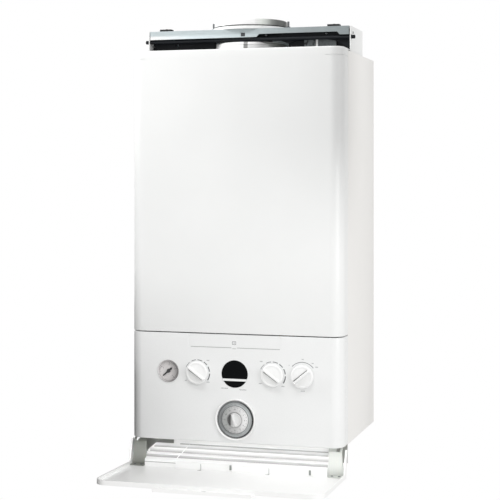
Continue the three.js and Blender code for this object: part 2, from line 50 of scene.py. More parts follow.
SLOT_OF = {s["node"]: s["material_slot"] for s in frame["record"]["subparts"]}
random.seed(7)

HALF, FRONT, TOP, SEAM, CORNER, RETURN, MOUNT_Z = 197.5, -283.0, 705.0, 194.5, 22.0, 47.0, 670.0
FLUE = (-12.0, FRONT + 147.0)
GAUGE = (-125.0, 124.0)
KNOBS = {"hot_water_knob": (-69.3, 123.0), "heating_knob": (71.0, 124.0), "mode_knob": (125.6, 124.0)}
WINDOW = (1.0, 123.5)
TIMER = (3.0, 42.5)
HINGE = (FRONT + 20.0, -12.0)
TILT = math.radians(1)
PLATE, EDGE, LIP = 39.0, 185.0, 170.0


def yd(depth):
    return FRONT + depth


def P(x, y, z):
    return Vector((x, y, z - MOUNT_Z)) * 0.001


# ------------------------------------------------------------------ materials
MATS = {}


def new_mat(name):
    m = bpy.data.materials.new(name)
    m.use_nodes = True
    nt = m.node_tree
    bsdf = nt.nodes["Principled BSDF"]
    MATS[name] = m
    return m, nt, bsdf


def node(nt, kind, **inputs):
    n = nt.nodes.new(kind)
    for k, v in inputs.items():
        n.inputs[k.replace("_", " ")].default_value = v
    return n


def mix_rgb(nt, fac, a, b, blend="MIX"):
    n = nt.nodes.new("ShaderNodeMix")
    n.data_type = "RGBA"
    n.blend_type = blend
    if isinstance(fac, float):
        n.inputs[0].default_value = fac
    else:
        nt.links.new(fac, n.inputs[0])
    for i, v in ((6, a), (7, b)):
        if isinstance(v, tuple):
            n.inputs[i].default_value = (*v, 1.0)
        else:
            nt.links.new(v, n.inputs[i])
    return n.outputs[2]


def remap(nt, value, lo, hi, a=0.0, b=1.0):
    n = nt.nodes.new("ShaderNodeMapRange")
    nt.links.new(value, n.inputs[0])
    n.inputs[1].default_value, n.inputs[2].default_value = a, b
    n.inputs[3].default_value, n.inputs[4].default_value = lo, hi
    return n.outputs[0]


def coords(nt, scale=(1, 1, 1)):
    tc = nt.nodes.new("ShaderNodeTexCoord")
    mp = nt.nodes.new("ShaderNodeMapping")
    mp.inputs["Scale"].default_value = scale
    nt.links.new(tc.outputs["Object"], mp.inputs["Vector"])
    return mp.outputs["Vector"]


def noise(nt, vec, scale, detail=3.0, rough=0.5):
    n = node(nt, "ShaderNodeTexNoise", Scale=scale, Detail=detail, Roughness=rough)
    nt.links.new(vec, n.inputs["Vector"])
    return n.outputs["Fac"]


def bump(nt, bsdf, height, strength, distance):
    n = node(nt, "ShaderNodeBump", Strength=strength, Distance=distance)
    nt.links.new(height, n.inputs["Height"])
    nt.links.new(n.outputs["Normal"], bsdf.inputs["Normal"])
    return n


def coated(name, color, rough, peel=0.12, peel_scale=700.0, shade=0.97, coat=0.0, spec=0.5):
    """Powder coat or moulded plastic: faint tone changes, orange peel, uneven gloss."""
    m, nt, b = new_mat(name)
    vec = coords(nt)
    broad = noise(nt, vec, 5.0, 4.0)
    dark = tuple(c * shade for c in color)
    nt.links.new(mix_rgb(nt, remap(nt, broad, 0.0, 1.0, 0.35, 0.65), dark, color), b.inputs["Base Color"])
    fine = noise(nt, vec, peel_scale, 2.0)
    nt.links.new(remap(nt, fine, rough - 0.05, rough + 0.05, 0.3, 0.7), b.inputs["Roughness"])
    bump(nt, b, fine, peel, 0.00012)
    b.inputs["Specular IOR Level"].default_value = spec
    b.inputs["Coat Weight"].default_value = coat
    b.inputs["Coat Roughness"].default_value = 0.12
    return m


def metal(name, color, rough, stretch=(1, 1, 1), scale=90.0, vary=0.12, metallic=1.0, bumpy=0.1):
    m, nt, b = new_mat(name)
    vec = coords(nt, stretch)
    f = noise(nt, vec, scale, 6.0, 0.6)
    nt.links.new(mix_rgb(nt, remap(nt, f, 0.0, 1.0, 0.3, 0.7), tuple(c * (1 - vary) for c in color), color), b.inputs["Base Color"])
    nt.links.new(remap(nt, f, rough - 0.08, rough + 0.1, 0.3, 0.7), b.inputs["Roughness"])
    b.inputs["Metallic"].default_value = metallic
    bump(nt, b, f, bumpy, 0.00015)
    return m


def galvanised(name):
    m, nt, b = new_mat(name)
    vec = coords(nt)
    warp = nt.nodes.new("ShaderNodeVectorMath")
    warp.operation = "MULTIPLY_ADD"
    n = node(nt, "ShaderNodeTexNoise", Scale=60.0, Detail=2.0)
    nt.links.new(vec, n.inputs["Vector"])
    nt.links.new(n.outputs["Color"], warp.inputs[0])
    warp.inputs[1].default_value = (0.004, 0.004, 0.004)
    nt.links.new(vec, warp.inputs[2])
    v = node(nt, "ShaderNodeTexVoronoi", Scale=170.0)
    nt.links.new(warp.outputs[0], v.inputs["Vector"])
    grey = nt.nodes.new("ShaderNodeSeparateColor")
    nt.links.new(v.outputs["Color"], grey.inputs[0])
    streak = noise(nt, coords(nt, (1, 1, 14)), 30.0, 5.0, 0.6)
    base = mix_rgb(nt, grey.outputs[0], (0.50, 0.565, 0.60), (0.70, 0.76, 0.79))
    nt.links.new(mix_rgb(nt, remap(nt, streak, 0.0, 0.45, 0.35, 0.75), base, (0.80, 0.84, 0.86)), b.inputs["Base Color"])
    nt.links.new(remap(nt, grey.outputs[1], 0.3, 0.5), b.inputs["Roughness"])
    b.inputs["Metallic"].default_value = 0.75
    bump(nt, b, grey.outputs[2], 0.05, 0.0002)
    return m


coated("white_paint", (0.86, 0.868, 0.865), 0.34, coat=0.15)
coated("white_paint_side", (0.86, 0.85, 0.832), 0.38, coat=0.1)
coated("white_plastic", (0.85, 0.858, 0.858), 0.3, peel=0.06, peel_scale=1400.0, coat=0.2)
coated("knob_plastic", (0.885, 0.89, 0.888), 0.33, peel=0.06, peel_scale=1400.0, coat=0.1)
coated("flap_plastic", (0.93, 0.932, 0.928), 0.33, peel=0.06, peel_scale=1400.0, coat=0.1)
coated("dark_plastic", (0.07, 0.074, 0.08), 0.45, shade=0.85)
coated("black_paint", (0.007, 0.009, 0.012), 0.5, peel=0.2, shade=0.7, spec=0.22)
coated("rubber_black", (0.013, 0.013, 0.014), 0.75, peel=0.3, peel_scale=900.0, shade=0.8)
coated("timer_grey", (0.36, 0.38, 0.385), 0.26, peel=0.05, shade=0.93, coat=0.3)
coated("dial_grey", (0.66, 0.68, 0.69), 0.38, peel=0.05, shade=0.96)
coated("gauge_rim", (0.46, 0.44, 0.44), 0.35, peel=0.05)
coated("gauge_face", (0.60, 0.555, 0.555), 0.5, peel=0.03, shade=0.94)
coated("print_grey", (0.10, 0.105, 0.115), 0.5, peel=0.03, shade=0.9, spec=0.3)
coated("print_light", (0.26, 0.265, 0.275), 0.5, peel=0.03, shade=0.9, spec=0.3)
# grey of the hinge parts: partly their own grey, partly painted shade under the casing; the lighter and darker copies
# below are painted light on the right flap arm and painted shade on the left one
coated("arm_grey", (0.365, 0.375, 0.34), 0.45, shade=0.93)
coated("arm_painted_light", (0.62, 0.64, 0.61), 0.45, shade=0.93)
coated("arm_painted_shade", (0.25, 0.257, 0.233), 0.45, shade=0.93)
# dark grey given to the bottom panel in place of its steel finish: painted shade under the fascia
coated("apron_painted_shade", (0.38, 0.387, 0.366), 0.5, shade=0.94)
coated("vessel_red", (0.42, 0.05, 0.04), 0.4, shade=0.85)
metal("aluminium", (0.74, 0.735, 0.71), 0.32, (1, 1, 22), 26.0)
metal("brushed_steel", (0.62, 0.63, 0.64), 0.3, (1, 1, 20), 40.0)
metal("fastener_steel", (0.2, 0.21, 0.22), 0.38)
metal("copper", (0.74, 0.40, 0.25), 0.3, (1, 1, 6), 40.0, 0.3)
metal("brass", (0.72, 0.56, 0.28), 0.32, (1, 1, 1), 60.0, 0.2)
metal("cast_grey", (0.36, 0.37, 0.37), 0.6, (1, 1, 1), 300.0, 0.3, 0.8, 0.5)
galvanised("galvanised")
coated("needle_black", (0.004, 0.004, 0.005), 0.6, shade=0.8, spec=0.1)
# tone for the painted shade line in the fascia's seat
coated("seat_painted_shade", (0.40, 0.41, 0.40), 0.5, shade=0.95)
# grey for the clip strip's marks, and for the painted shadow strips beside the knobs' grip bars
coated("clip_grey_and_painted_shadow", (0.25, 0.26, 0.25), 0.5, shade=0.9)
metal("dial_satin", (0.80, 0.81, 0.82), 0.3, (1, 1, 1), 200.0, 0.06, 0.55, 0.04)


def ramp(nt, value, stops):
    """Colour by a coordinate in metres; stops are (millimetres, colour)."""
    lo, hi = stops[0][0], stops[-1][0]
    n = nt.nodes.new("ShaderNodeValToRGB")
    nt.links.new(remap(nt, value, 0.0, 1.0, lo * 0.001, hi * 0.001), n.inputs[0])
    e = n.color_ramp.elements
    while len(e) < len(stops):
        e.new(0.5)
    for item, (at_mm, c) in zip(e, stops):
        item.position = (at_mm - lo) / (hi - lo)
    for item, (at_mm, c) in zip(e, stops):
        item.color = (*c, 1.0)
    return n.outputs[0]


def axis(nt, letter):
    tc = nt.nodes.new("ShaderNodeTexCoord")
    sep = nt.nodes.new("ShaderNodeSeparateXYZ")
    nt.links.new(tc.outputs["Object"], sep.inputs[0])
    return sep.outputs[letter]


def streaked(name, build, rough, metallic, depth=0.12, stretch=(1, 1, 30), scale=30.0, spec=0.5):
    """A coordinate-driven tone under fine drawn streaks."""
    m, nt, b = new_mat(name)
    tone = build(nt)
    grain = noise(nt, coords(nt, stretch), scale, 5.0, 0.6)
    nt.links.new(mix_rgb(nt, remap(nt, grain, 0.0, depth, 0.3, 0.7), tone, (0.02, 0.022, 0.022)), b.inputs["Base Color"])
    nt.links.new(remap(nt, grain, rough - 0.08, rough + 0.08, 0.3, 0.7), b.inputs["Roughness"])
    b.inputs["Metallic"].default_value = metallic
    b.inputs["Specular IOR Level"].default_value = spec
    bump(nt, b, grain, 0.05, 0.0001)
    return m


def g(v, tint=(1.0, 1.0, 1.0)):
    return tuple(v * t for t in tint)


WARM, COOL, SLATE = (1.0, 1.035, 0.99), (0.89, 1.0, 1.03), (0.955, 1.0, 1.01)
# the turret's sheet: white up to its seam, then darkening to the right round the ring as painted shade
streaked("turret_painted_shade", lambda nt: ramp(nt, axis(nt, "X"), [(-90, g(0.95)), (14.2, g(0.95)), (14.6, g(0.88)), (25, g(0.82, WARM)), (33, g(0.6, WARM)), (41, g(0.28, WARM)), (49, g(0.14, WARM)), (60, g(0.11, WARM))]),
         0.4, 0.1)
# the collar drum: white to the left, a dark band near its middle, then painted shade and light varying round the drum
# towards the right
streaked("collar_painted_light_and_shade", lambda nt: ramp(nt, axis(nt, "X"), [(-90, g(0.93)), (-6.0, g(0.93)), (-5.4, g(0.28)), (1.4, g(0.28)), (2.4, g(0.80)), (14, g(0.74)), (28, g(0.53)), (44, g(0.56, WARM)), (54, g(0.80, WARM)), (64, g(0.93, WARM))]),
         0.35, 0.15)


# the rail's front: painted light and shade, bright at the left and darker to the right, with a painted highlight along
# its lower left
def rail_tone(nt):
    x, z = axis(nt, "X"), axis(nt, "Z")
    high = ramp(nt, x, [(-191, g(0.63, COOL)), (-60, g(0.61, COOL)), (10, g(0.53, COOL)), (60, g(0.43, COOL)), (110, g(0.36, COOL)), (191, g(0.32, COOL))])
    low = ramp(nt, x, [(-191, g(0.98)), (-110, g(0.84, COOL)), (-20, g(0.70, COOL)), (30, g(0.54, COOL)), (100, g(0.37, COOL)), (191, g(0.31, COOL))])
    return mix_rgb(nt, remap(nt, z, 1.0, 0.0, 0.0675, 0.0715), high, low)


streaked("rail_steel_painted_light", rail_tone, 0.42, 0.2, depth=0.16, stretch=(1, 1, 9), scale=60.0)
# mottled to the left of the slot, plain to the right; kept very dark overall as painted shade inside the casing
streaked("bracket_steel_painted_shade", lambda nt: mix_rgb(nt, remap(nt, noise(nt, coords(nt), 150.0, 3.0), 0.0, 1.0, 0.44, 0.54),
                                             ramp(nt, axis(nt, "X"), [(104, g(0.02, COOL)), (124, g(0.03, COOL)), (131, g(0.10, COOL)), (165, g(0.13, COOL))]),
                                             ramp(nt, axis(nt, "X"), [(104, g(0.16, COOL)), (124, g(0.16, COOL)), (131, g(0.13, COOL)), (165, g(0.16, COOL))])),
         0.45, 0.2, depth=0.1, stretch=(1, 1, 1), scale=200.0)
# the gauge's face darkens to the right: painted shade from its recess
streaked("gauge_card_painted_shade", lambda nt: ramp(nt, axis(nt, "X"), [(-145, g(0.84, (1.0, 0.97, 0.965))), (-124, g(0.68, (1.0, 0.96, 0.955))), (-107, g(0.36, (1.0, 0.96, 0.955)))]),
         0.5, 0.0, depth=0.04, stretch=(1, 1, 1), scale=300.0)


def radius(nt, cx, cz):
    """Distance in metres from an axis that runs front to back through (cx, cz), given in millimetres."""
    sq = []
    for letter, c in (("X", cx), ("Z", cz - MOUNT_Z)):
        d = node(nt, "ShaderNodeMath")
        d.operation = "SUBTRACT"
        nt.links.new(axis(nt, letter), d.inputs[0])
        d.inputs[1].default_value = c * 0.001
        e = node(nt, "ShaderNodeMath")
        e.operation = "MULTIPLY"
        nt.links.new(d.outputs[0], e.inputs[0])
        nt.links.new(d.outputs[0], e.inputs[1])
        sq.append(e)
    t = node(nt, "ShaderNodeMath")
    t.operation = "ADD"
    nt.links.new(sq[0].outputs[0], t.inputs[0])
    nt.links.new(sq[1].outputs[0], t.inputs[1])
    r = node(nt, "ShaderNodeMath")
    r.operation = "SQRT"
    nt.links.new(t.outputs[0], r.inputs[0])
    return r.outputs[0]


# the timer's grey ring, with painted shade: darker to the left, and a dark shaded outer edge to the right
streaked("timer_ring_painted_shade", lambda nt: mix_rgb(nt, remap(nt, radius(nt, 3, 42.5), 0.0, 1.0, 0.0311, 0.0317),
                                          ramp(nt, axis(nt, "X"), [(-31, g(0.21, SLATE)), (-24, g(0.25, SLATE)), (3, g(0.42, SLATE)), (28, g(0.50, SLATE)), (37, g(0.44, SLATE))]),
                                          ramp(nt, axis(nt, "X"), [(-31, g(0.28, SLATE)), (-10, g(0.18, SLATE)), (3, g(0.24, SLATE)), (20, g(0.07, SLATE)), (37, g(0.025, SLATE))])),
         0.3, 0.1, depth=0.06, stretch=(1, 1, 1), scale=200.0)
# the timer's dial face: darker on the left and bright on the right, painted shade and light
streaked("timer_face_painted_light", lambda nt: ramp(nt, axis(nt, "X"), [(-22, g(0.46, (0.98, 1.0, 0.99))), (-12, g(0.44, (0.97, 1.0, 0.98))), (-4, g(0.52)), (6, g(0.61)), (16, g(0.78)), (27, g(0.88))]),
         0.42, 0.05, depth=0.08, stretch=(1, 1, 1), scale=700.0)
# the switch knob: a dark crescent at its left as painted shade, and a painted highlight on its ridge
streaked("timer_grip_painted_shade_and_highlight", lambda nt: ramp(nt, axis(nt, "X"), [(-10, g(0.16)), (-6.0, g(0.07)), (-4.2, g(0.08)), (-3.2, g(0.46)), (0, g(0.62)), (2, g(0.84)), (6, g(0.76)), (15, g(0.72))]),
         0.4, 0.0, depth=0.04, stretch=(1, 1, 1), scale=300.0)
# the gauge case's ring: light at the left, darkening to the right as painted shade
streaked("gauge_ring_painted_shade", lambda nt: ramp(nt, axis(nt, "X"), [(-145, g(0.72, (1.0, 0.98, 0.98))), (-132, g(0.5, (1.0, 0.97, 0.97))), (-118, g(0.30, (1.0, 0.96, 0.96))), (-105, g(0.20, (1.0, 0.96, 0.96)))]),
         0.4, 0.0, depth=0.04, stretch=(1, 1, 1), scale=300.0)


def step(b0, b1, top, bottom):
    """Stops of painted shade for a step's face, from its top tone to its bottom tone; b counted down from the hinge
    line.
    """
    return [(-(12 + b1), g(bottom, (1.0, 0.99, 0.965))), (-(12 + b0), g(top))]


# painted shade on the lip's step faces, darker towards the bottom of each face
streaked("lip_painted_shade", lambda nt: ramp(nt, axis(nt, "Z"), [(h - 670, c) for h, c in
                                      step(30.0, 31.2, 0.45, 0.45) + step(18.0, 22.9, 0.55, 0.33) + step(7.2, 14.7, 0.90, 0.36) + step(2.8, 6.1, 0.88, 0.42) + step(-1.4, 0.5, 0.46, 0.46)]),
         0.45, 0.0, depth=0.03, stretch=(1, 1, 1), scale=300.0)

m, nt, b = new_mat("black_plastic")
vec = coords(nt)
f = noise(nt, vec, 12.0, 3.0)
nt.links.new(mix_rgb(nt, f, (0.002, 0.0025, 0.003), (0.005, 0.0055, 0.006)), b.inputs["Base Color"])
nt.links.new(remap(nt, noise(nt, vec, 500.0), 0.10, 0.16), b.inputs["Roughness"])
b.inputs["Specular IOR Level"].default_value = 0.06

m, nt, b = new_mat("lens_clear")
vec = coords(nt)
nt.links.new(mix_rgb(nt, noise(nt, vec, 30.0), (0.9, 0.92, 0.93), (1.0, 1.0, 1.0)), b.inputs["Base Color"])
nt.links.new(remap(nt, noise(nt, vec, 200.0), 0.03, 0.08), b.inputs["Roughness"])
b.inputs["Alpha"].default_value = 0.03


# ------------------------------------------------------------------ mesh tools
def tidy(bm):
    bmesh.ops.remove_doubles(bm, verts=bm.verts[:], dist=1e-7)
    bmesh.ops.recalc_face_normals(bm, faces=bm.faces[:])


def finish_piece(name, bm, mat, body, nodes=(), deg=38, doubles=True):
    if doubles:
        tidy(bm)
    me = bpy.data.meshes.new(name)
    bm.to_mesh(me)
    bm.free()
    ob = bpy.data.objects.new(name, me)
    bpy.context.scene.collection.objects.link(ob)
    me.materials.append(MATS[mat])
    for p in me.polygons:
        p.use_smooth = True
    me.set_sharp_from_angle(angle=math.radians(deg))
    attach(ob, body)
    if nodes:
        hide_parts(*nodes)
    return ob


def face(bm, verts):
    try:
        return bm.faces.new(verts)
    except ValueError:
        return None


def loft(bm, rings, closed=True, cap0=True, cap1=True):
    """Quads between rings of points; closed rings may be capped."""
    rows = [[bm.verts.new(p) for p in r] for r in rings]
    n = len(rows[0])
    for a, c in zip(rows, rows[1:]):
        for i in range(n if closed else n - 1):
            j = (i + 1) % n
            face(bm, (a[i], a[j], c[j], c[i]))
    if closed and cap0:
        face(bm, rows[0][::-1])
    if closed and cap1:
        face(bm, rows[-1])
    return rows


def revolve(bm, profile, place, segments=96):
    """profile of (radius, height) through place(u, v, h); ends on the axis or closes on itself."""
    loop = profile[0] == profile[-1]
    rows = []
    for r, h in (profile[:-1] if loop else profile):
        if r < 1e-6:
            rows.append([bm.verts.new(place(0, 0, h))])
        else:
            rows.append([bm.verts.new(place(r * math.cos(2 * math.pi * i / segments), r * math.sin(2 * math.pi * i / segments), h))
                         for i in range(segments)])
    pairs = list(zip(rows, rows[1:])) + ([(rows[-1], rows[0])] if loop else [])
    for a, c in pairs:
        for i in range(segments):
            j = (i + 1) % segments
            if len(a) == 1 and len(c) == 1:
                continue
            if len(a) == 1:
                face(bm, (a[0], c[j], c[i]))
            elif len(c) == 1:
                face(bm, (a[i], a[j], c[0]))
            else:
                face(bm, (a[i], a[j], c[j], c[i]))


def fillet(profile, radii, steps=4):
    """Rounds the corners of an open profile; radii is one number or a dict of corner index to radius."""
    out = [profile[0]]
    for i in range(1, len(profile) - 1):
        r = radii.get(i, 0) if isinstance(radii, dict) else radii
        a, p, c = (Vector(profile[k]) for k in (i - 1, i, i + 1))
        u, v = (a - p), (c - p)
        if r <= 0 or u.length < 1e-6 or v.length < 1e-6:
            out.append(tuple(p))
            continue
        ang = u.angle(v)
        if abs(ang - math.pi) < 0.02:
            out.append(tuple(p))
            continue
        cut = min(r / math.tan(ang / 2), u.length * 0.49, v.length * 0.49)
        s, e = p + u.normalized() * cut, p + v.normalized() * cut
        for k in range(steps + 1):
            t = k / steps
            out.append(tuple(s * (1 - t) ** 2 + p * 2 * t * (1 - t) + e * t ** 2))
    out.append(profile[-1])
    return out


def rounded(points, r, steps=4):
    """Rounds every corner of a closed outline."""
    n = len(points)
    out = []
    for i in range(n):
        radius = r[i] if isinstance(r, (list, tuple)) else r
        a, p, c = (Vector(points[k % n]) for k in (i - 1, i, i + 1))
        u, v = (a - p), (c - p)
        if radius <= 0:
            out.append(tuple(p))
            continue
        ang = u.angle(v)
        cut = min(radius / math.tan(ang / 2), u.length * 0.49, v.length * 0.49)
        s, e = p + u.normalized() * cut, p + v.normalized() * cut
        for k in range(steps + 1):
            t = k / steps
            out.append(tuple(s * (1 - t) ** 2 + p * 2 * t * (1 - t) + e * t ** 2))
    return out


def front_place(cx, cz):
    """u to the right, v up, h forward of the front plane."""
    return lambda u, v, h: P(cx + u, FRONT - h, cz + v)


def up_place(cx, cy):
    return lambda u, v, h: P(cx + u, cy + v, h)


def prism(bm, points, place, h0, h1):
    loft(bm, [[place(u, v, h0) for u, v in points], [place(u, v, h1) for u, v in points]])


def rect(x0, x1, y0, y1):
    return [(x0, y0), (x1, y0), (x1, y1), (x0, y1)]


def apply_modifiers(ob):
    dg = bpy.context.evaluated_depsgraph_get()
    me = bpy.data.meshes.new_from_object(ob.evaluated_get(dg))
    ob.modifiers.clear()
    old = ob.data
    ob.data = me
    bpy.data.meshes.remove(old)


def cutter(build):
    bm = bmesh.new()
    build(bm)
    tidy(bm)
    me = bpy.data.meshes.new("cutter")
    bm.to_mesh(me)
    bm.free()
    ob = bpy.data.objects.new("cutter", me)
    bpy.context.scene.collection.objects.link(ob)
    return ob


def subtract(ob, build):
    c = cutter(build)
    m = ob.modifiers.new("cut", "BOOLEAN")
    m.solver = "EXACT"
    m.object = c
    bpy.context.view_layer.update()
    apply_modifiers(ob)
    bpy.data.objects.remove(c)


def smooth_by_angle(ob, deg=38):
    for p in ob.data.polygons:
        p.use_smooth = True
    ob.data.set_sharp_from_angle(angle=math.radians(deg))


def outline(inset, depth, n=20):
    r = CORNER - inset
    x = HALF - inset
    pts = [(-x, yd(depth))]
    for i in range(n + 1):
        a = math.pi + math.pi / 2 * i / n
        pts.append((-HALF + CORNER + r * math.cos(a), FRONT + CORNER + r * math.sin(a)))
    pts += [(u, FRONT + inset) for u in (-168.4, -167.6, 167.6, 168.4)]
    for i in range(n + 1):
        a = 1.5 * math.pi + math.pi / 2 * i / n
        pts.append((HALF - CORNER + r * math.cos(a), FRONT + CORNER + r * math.sin(a)))
    pts.append((x, yd(depth)))
    return pts


# ------------------------------------------------------------------ camera and light
cam_data = bpy.data.cameras.new("camera")
cam = bpy.data.objects.new("camera", cam_data)
bpy.context.scene.collection.objects.link(cam)
cam.location = (0.7083, -2.5859, 0.4754 - 0.001 * MOUNT_Z)
cam.rotation_euler = (math.pi / 2, 0, math.radians(16.42))
cam_data.sensor_width = 36
cam_data.lens = 1349 / 500 * 36
cam_data.shift_y = -(250 - 177) / 500
cam_data.clip_start, cam_data.clip_end = 0.05, 60
bpy.context.scene.camera = cam
bpy.context.scene.view_settings.view_transform = "Standard"

world = bpy.data.worlds.new("studio")
bpy.context.scene.world = world
world.use_nodes = True
wt = world.node_tree
wt.nodes.clear()
out = wt.nodes.new("ShaderNodeOutputWorld")
mix = wt.nodes.new("ShaderNodeMixShader")
path = wt.nodes.new("ShaderNodeLightPath")
seen = wt.nodes.new("ShaderNodeBackground")
seen.inputs["Color"].default_value = (1, 1, 1, 1)
seen.inputs["Strength"].default_value = 1.0
lit = wt.nodes.new("ShaderNodeBackground")
lit.inputs["Color"].default_value = (1.0, 0.995, 0.985, 1)
lit.inputs["Strength"].default_value = 0.755
wt.links.new(path.outputs["Is Camera Ray"], mix.inputs[0])
wt.links.new(lit.outputs[0], mix.inputs[1])
wt.links.new(seen.outputs[0], mix.inputs[2])
wt.links.new(mix.outputs[0], out.inputs[0])


def area(name, loc, target, size, power, color=(1, 1, 1)):
    d = bpy.data.lights.new(name, "AREA")
    d.shape = "RECTANGLE"
    d.size, d.size_y = size
    d.energy = power
    d.color = color
    o = bpy.data.objects.new(name, d)
    bpy.context.scene.collection.objects.link(o)
    o.location = loc
    o.rotation_euler = (Vector(target) - Vector(loc)).to_track_quat("-Z", "Y").to_euler()
    o.visible_camera = False
    return o


area("right", (2.4, -1.6, 0.3), (0.1, -0.2, -0.3), (1.2, 2.0), 23.2)
area("left_high", (-1.7, -0.52, 0.60), (-0.19, -0.27, 0.0), (0.7, 0.7), 19)
area("above", (0.05, -1.05, 1.0), (0.0, -0.38, -0.72), (0.9, 0.4), 8.6)
# a gridded strip that reaches the lip under the fascia
area("lip_strip", (0.0, -0.60, -0.700), (0.0, -0.27, -0.694), (0.46, 0.012), 0.021).data.spread = math.radians(10)

bm = bmesh.new()
loft(bm, [[Vector((x, y, -1.9)) for x, y in rect(-2.5, 2.5, -2.5, 2.5)], [Vector((x, y, -1.88)) for x, y in rect(-2.5, 2.5, -2.5, 2.5)]])
tidy(bm)
me = bpy.data.meshes.new("floor")
bm.to_mesh(me)
bm.free()
floor = bpy.data.objects.new("floor", me)
bpy.context.scene.collection.objects.link(floor)
fm, nt, b = new_mat("floor_pale")
nt.links.new(mix_rgb(nt, noise(nt, coords(nt), 1.5), (0.93, 0.93, 0.93), (0.97, 0.97, 0.97)), b.inputs["Base Color"])
b.inputs["Roughness"].default_value = 0.9
me.materials.append(fm)


def card(name, corners, color):
    """A flag beside the object that only its reflection and shade show."""
    b = bmesh.new()
    face(b, [b.verts.new(Vector(c)) for c in corners])
    data = bpy.data.meshes.new(name)
    b.to_mesh(data)
    b.free()
    o = bpy.data.objects.new(name, data)
    bpy.context.scene.collection.objects.link(o)
    mat, t, p = new_mat(name + "_cloth")
    t.links.new(mix_rgb(t, noise(t, coords(t), 20.0), tuple(c * 0.9 for c in color), color), p.inputs["Base Color"])
    p.inputs["Roughness"].default_value = 1.0
    p.inputs["Specular IOR Level"].default_value = 0.0
    data.materials.append(mat)
    o.visible_camera = False
    return o


card("flag_left", [(-0.222, -0.50, -0.95), (-0.222, 0.1, -0.95), (-0.31, 0.1, -0.44), (-0.31, -0.50, -0.44)], (0.005, 0.005, 0.005))
# ends the left light's reach part-way down the edge
card("flag_left_high", [(-0.69, -0.75, -0.60), (-0.69, 0.02, -0.60), (-0.69, 0.02, -0.16), (-0.69, -0.75, -0.16)], (0.05, 0.05, 0.05))
card("flag_right", [(0.28, -0.52, -0.17), (0.43, -0.37, -0.17), (0.43, -0.37, 0.35), (0.28, -0.52, 0.35)], (0.02, 0.02, 0.02))

# ------------------------------------------------------------------ CAD nodes keep their shape, take a finish
EDGE_WIDTH = {"lower_flap": 0.5, "top_rail": 0.35, "heat_exchanger": 1.5, "pump_body": 1.2, "gas_valve": 1.2,
              "plate_heat_exchanger": 0.8, "control_box": 1.0, "condensate_trap": 0.6, "fan_housing": 0.6}
FINISH = {"lower_flap": "flap_plastic", "top_rail": "rail_steel_painted_light", "harness_bracket": "bracket_steel_painted_shade", "bottom_panel": "apron_painted_shade",
          "flap_arm_right": "arm_painted_light", "flap_arm_left": "arm_painted_shade", "hinge_bracket_left": "arm_grey", "hinge_bracket_right": "arm_grey"}
for name, ob in NODES.items():
    ob.data.materials.clear()
    ob.data.materials.append(MATS[FINISH.get(name, SLOT_OF[name])])
    smooth_by_angle(ob, 34)
    m = ob.modifiers.new("edges", "BEVEL")
    m.width = EDGE_WIDTH.get(name, 0.25) * 0.001
    m.segments = 2
    m.limit_method = "ANGLE"
    m.angle_limit = math.radians(40)
    m.use_clamp_overlap = True

# ------------------------------------------------------------------ casing
def front_casing():
    bm = bmesh.new()
    levels = []          # height, inset of the whole ring, extra inset at the two ends of the front
    for inset, z in ((1.5, 195.4), (0.55, 195.5), (0.12, 195.9), (0, 196.6)):
        levels.append((z, inset, 0))
    levels += [(300, 0, 0), (450, 0, 0), (600, 0, 0), (689.5, 0, 0), (689.62, 0, 0.7), (690.38, 0, 0.7), (690.5, 0, 0)]
    R = 2.4
    for k in range(6):
        t = math.pi / 2 * k / 5
        levels.append((TOP - R + R * math.sin(t), R * (1 - math.cos(t)), 0))
    rings = []
    for z, inset, groove in levels:
        ring = []
        plain = outline(inset, RETURN - 0.8)
        deep = outline(inset + groove, RETURN - 0.8)
        for a, c in zip(plain, deep):
            p = c if abs(a[0]) > 168 else a
            ring.append(P(p[0], p[1], z))
        rings.append(ring)
    rows = loft(bm, rings, closed=False)
    top = rows[-1]
    back = [bm.verts.new(P(194, yd(82), TOP))]
    for k in range(9):
        a = math.radians(-90 + 25.1 - 50.2 * k / 8)
        back.append(bm.verts.new(P(FLUE[0] + 71.8 * math.cos(a), FLUE[1] + 71.8 * math.sin(a), TOP)))
    back.append(bm.verts.new(P(-194, yd(82), TOP)))
    face(bm, top + back)
    # hem turned in along the lower edge
    low = rows[0]
    hem = [bm.verts.new(P(p[0], p[1], 195.4)) for p in outline(9, RETURN - 0.8)]
    for i in range(len(low) - 1):
        face(bm, (low[i + 1], low[i], hem[i], hem[i + 1]))
    ob = finish_piece("casing_cover", bm, "white_paint", "boiler", ["front_casing"])
    s = ob.modifiers.new("sheet", "SOLIDIFY")
    s.thickness = 0.0014
    s.offset = -1
    s.use_even_offset = True
    apply_modifiers(ob)
    smooth_by_angle(ob, 30)
    return ob


